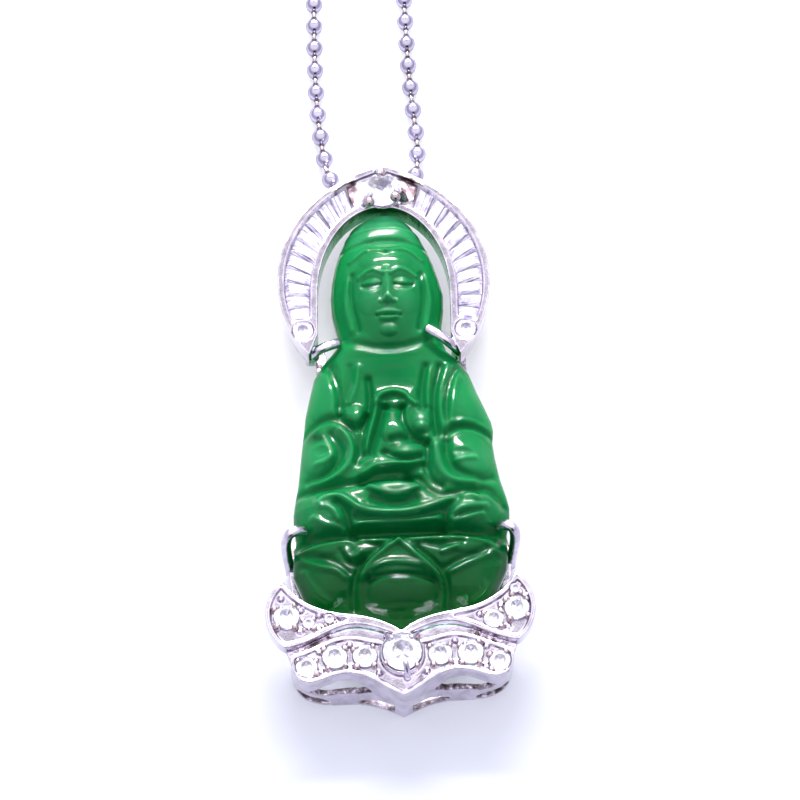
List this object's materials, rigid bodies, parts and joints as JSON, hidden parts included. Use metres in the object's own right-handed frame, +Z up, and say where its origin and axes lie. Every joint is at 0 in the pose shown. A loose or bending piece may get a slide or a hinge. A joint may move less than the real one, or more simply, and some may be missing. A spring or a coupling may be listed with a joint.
{
  "type": "guanyin pendant necklace",
  "caption": "Necklace with a carved green stone figure seated on a lotus, held in a white metal halo and lotus base set with clear stones, on a ball chain.",
  "frame": {"origin": "on the surface the necklace lies on, in the middle of its whole box", "axes": "+X to the right of the figure as seen from its front, +Y from the pendant's base towards its halo and the clasp, +Z up, out of the figure's front"},
  "size_m": [0.0994, 0.2066, 0.0068],
  "materials": {
    "setting_metal": "polished cast white metal",
    "chain_metal": "polished drawn white metal",
    "green_stone": "polished translucent green stone",
    "clear_stone": "faceted and polished"
  },
  "bodies": {
    "root": {"base_row_1": "clear_stone", "base_row_2": "clear_stone", "base_row_3": "clear_stone", "base_row_4": "clear_stone", "base_row_5": "clear_stone", "base_row_6": "clear_stone", "base_row_7": "clear_stone", "chain": "chain_metal", "clasp": "chain_metal", "figure": "green_stone", "halo_baguette_01": "clear_stone", "halo_baguette_02": "clear_stone", "halo_baguette_03": "clear_stone", "halo_baguette_04": "clear_stone", "halo_baguette_05": "clear_stone", "halo_baguette_06": "clear_stone", "halo_baguette_07": "clear_stone", "halo_baguette_08": "clear_stone", "halo_baguette_09": "clear_stone", "halo_baguette_10": "clear_stone", "halo_baguette_11": "clear_stone", "halo_baguette_12": "clear_stone", "halo_baguette_13": "clear_stone", "halo_baguette_14": "clear_stone", "halo_baguette_15": "clear_stone", "halo_baguette_16": "clear_stone", "halo_baguette_17": "clear_stone", "halo_baguette_18": "clear_stone", "halo_baguette_19": "clear_stone", "halo_baguette_20": "clear_stone", "halo_round_left": "clear_stone", "halo_round_right": "clear_stone", "halo_top_stone": "clear_stone", "setting": "setting_metal", "wing_stone_1": "clear_stone", "wing_stone_2": "clear_stone", "wing_stone_3": "clear_stone", "wing_stone_4": "clear_stone", "wing_stone_5": "clear_stone", "wing_stone_6": "clear_stone"}
  },
  "joints": []
}
